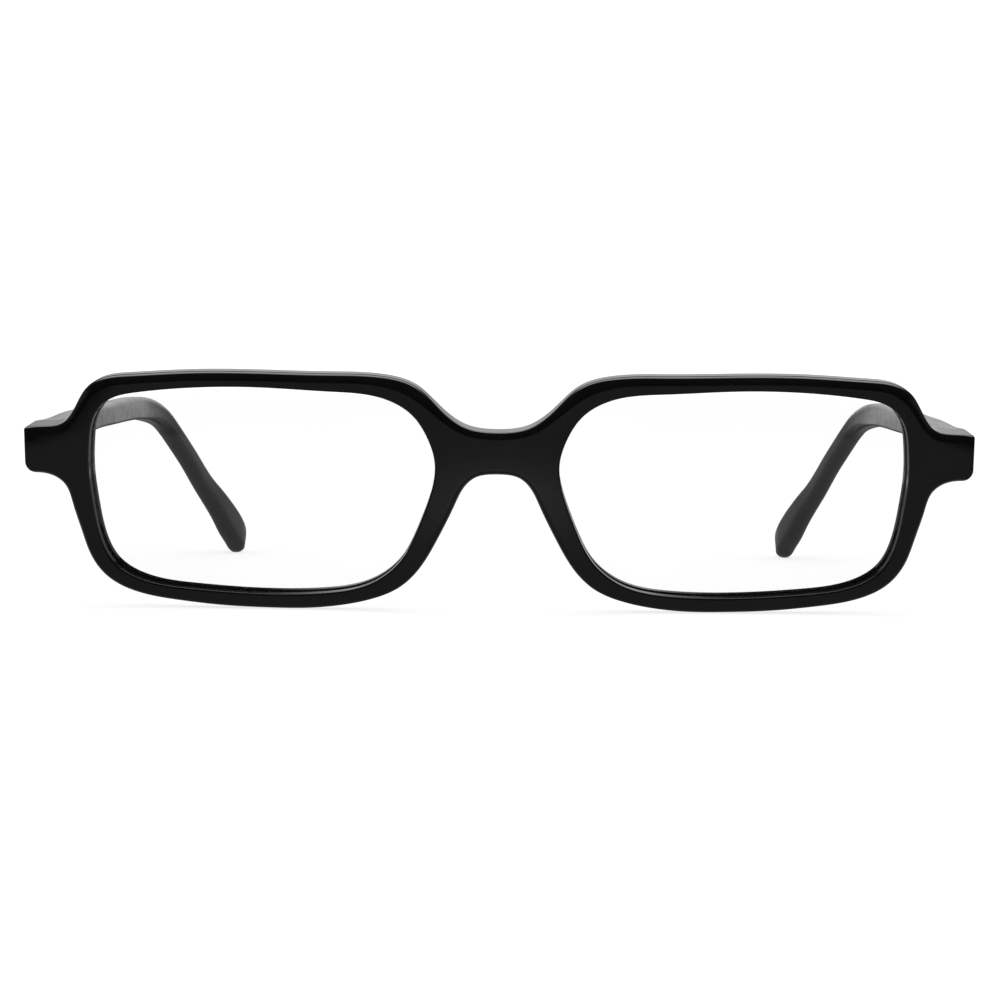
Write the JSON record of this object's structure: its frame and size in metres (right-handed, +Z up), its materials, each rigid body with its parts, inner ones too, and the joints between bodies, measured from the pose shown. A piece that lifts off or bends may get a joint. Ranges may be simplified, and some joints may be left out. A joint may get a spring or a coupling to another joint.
{
  "type": "eyeglasses frame",
  "caption": "Full-rim acetate spectacle frame with clear flat lenses, saddle bridge and folding temples, standing open on its rims and temple tips.",
  "frame": {"origin": "middle of the bounding box footprint, on the surface that the rim bottoms and temple tips stand on", "axes": "+Z up, -Y the way the front faces, +Y back along the temples, -X the wearer's right"},
  "size_m": [0.1404, 0.1412, 0.0355],
  "materials": {
    "acetate": "polished black",
    "demo_lens": "clear",
    "hinge_metal": "satin nickel silver",
    "screw_steel": "bright",
    "core_wire": "drawn"
  },
  "bodies": {
    "front": {"front_frame": "acetate", "right_lens": "demo_lens", "left_lens": "demo_lens", "right_nose_pad": "acetate", "left_nose_pad": "acetate", "right_front_hinge": "hinge_metal", "left_front_hinge": "hinge_metal", "right_hinge_screw": "screw_steel", "left_hinge_screw": "screw_steel"},
    "right_temple_arm": {"right_temple": "acetate", "right_temple_core": "core_wire", "right_temple_hinge": "hinge_metal"},
    "left_temple_arm": {"left_temple": "acetate", "left_temple_core": "core_wire", "left_temple_hinge": "hinge_metal"}
  },
  "joints": [
    {"name": "right_temple_fold", "type": "hinge", "parent": "front", "child": "right_temple_arm", "pos_m": [-0.0618, -0.0591, 0.02396], "axis": [0, 0.1908, -0.9816], "range_deg": [0, 82]},
    {"name": "left_temple_fold", "type": "hinge", "parent": "front", "child": "left_temple_arm", "pos_m": [0.0618, -0.0591, 0.02396], "axis": [0, -0.1908, 0.9816], "range_deg": [0, 88]}
  ]
}
